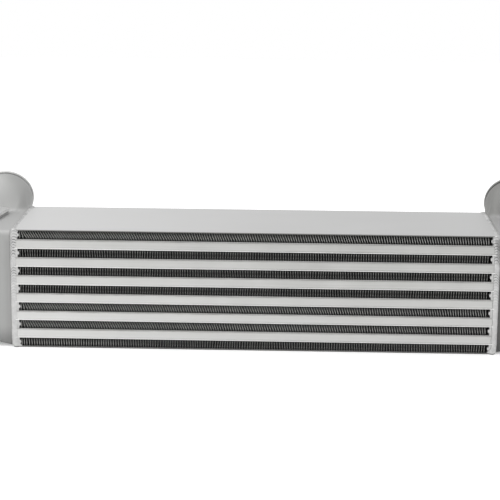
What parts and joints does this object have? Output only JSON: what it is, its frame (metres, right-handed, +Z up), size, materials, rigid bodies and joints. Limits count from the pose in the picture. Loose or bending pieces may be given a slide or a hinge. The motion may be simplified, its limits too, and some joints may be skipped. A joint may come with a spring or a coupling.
{
  "type": "intercooler",
  "caption": "Bar-and-plate charge air cooler: folded-fin core between cast end tanks with flanged rear necks and flat mounting ears.",
  "frame": {"origin": "middle of the core's underside", "axes": "+X from the left tank to the right tank, +Y from the front face to the necks at the rear, +Z up"},
  "size_m": [0.696, 0.1711, 0.1622],
  "materials": {
    "side_plate": "satin mill finish",
    "parting_sheet": "bright edges, ground flush",
    "closing_bar": "brushed along the bar",
    "cooling_fin": "brazed, dull",
    "charge_fin": "brazed, dull",
    "cast_tank": "as cast, fine-grained",
    "weld_bead": "rippled bead, partly ground",
    "mount_ear": "satin mill finish"
  },
  "bodies": {
    "root": {"bottom_side_plate": "side_plate", "charge_bar_front_01": "closing_bar", "charge_bar_front_02": "closing_bar", "charge_bar_front_03": "closing_bar", "charge_bar_front_04": "closing_bar", "charge_bar_front_05": "closing_bar", "charge_bar_front_06": "closing_bar", "charge_bar_rear_01": "closing_bar", "charge_bar_rear_02": "closing_bar", "charge_bar_rear_03": "closing_bar", "charge_bar_rear_04": "closing_bar", "charge_bar_rear_05": "closing_bar", "charge_bar_rear_06": "closing_bar", "charge_fin_01": "charge_fin", "charge_fin_02": "charge_fin", "charge_fin_03": "charge_fin", "charge_fin_04": "charge_fin", "charge_fin_05": "charge_fin", "charge_fin_06": "charge_fin", "cooling_bar_left_01": "closing_bar", "cooling_bar_left_02": "closing_bar", "cooling_bar_left_03": "closing_bar", "cooling_bar_left_04": "closing_bar", "cooling_bar_left_05": "closing_bar", "cooling_bar_left_06": "closing_bar", "cooling_bar_left_07": "closing_bar", "cooling_bar_right_01": "closing_bar", "cooling_bar_right_02": "closing_bar", "cooling_bar_right_03": "closing_bar", "cooling_bar_right_04": "closing_bar", "cooling_bar_right_05": "closing_bar", "cooling_bar_right_06": "closing_bar", "cooling_bar_right_07": "closing_bar", "cooling_fin_01": "cooling_fin", "cooling_fin_02": "cooling_fin", "cooling_fin_03": "cooling_fin", "cooling_fin_04": "cooling_fin", "cooling_fin_05": "cooling_fin", "cooling_fin_06": "cooling_fin", "cooling_fin_07": "cooling_fin", "left_end_tank": "cast_tank", "left_mount_ear": "mount_ear", "left_tank_weld": "weld_bead", "parting_sheet_01": "parting_sheet", "parting_sheet_02": "parting_sheet", "parting_sheet_03": "parting_sheet", "parting_sheet_04": "parting_sheet", "parting_sheet_05": "parting_sheet", "parting_sheet_06": "parting_sheet", "parting_sheet_07": "parting_sheet", "parting_sheet_08": "parting_sheet", "parting_sheet_09": "parting_sheet", "parting_sheet_10": "parting_sheet", "parting_sheet_11": "parting_sheet", "parting_sheet_12": "parting_sheet", "right_end_tank": "cast_tank", "right_mount_ear": "mount_ear", "right_tank_weld": "weld_bead", "top_side_plate": "side_plate"}
  },
  "joints": []
}
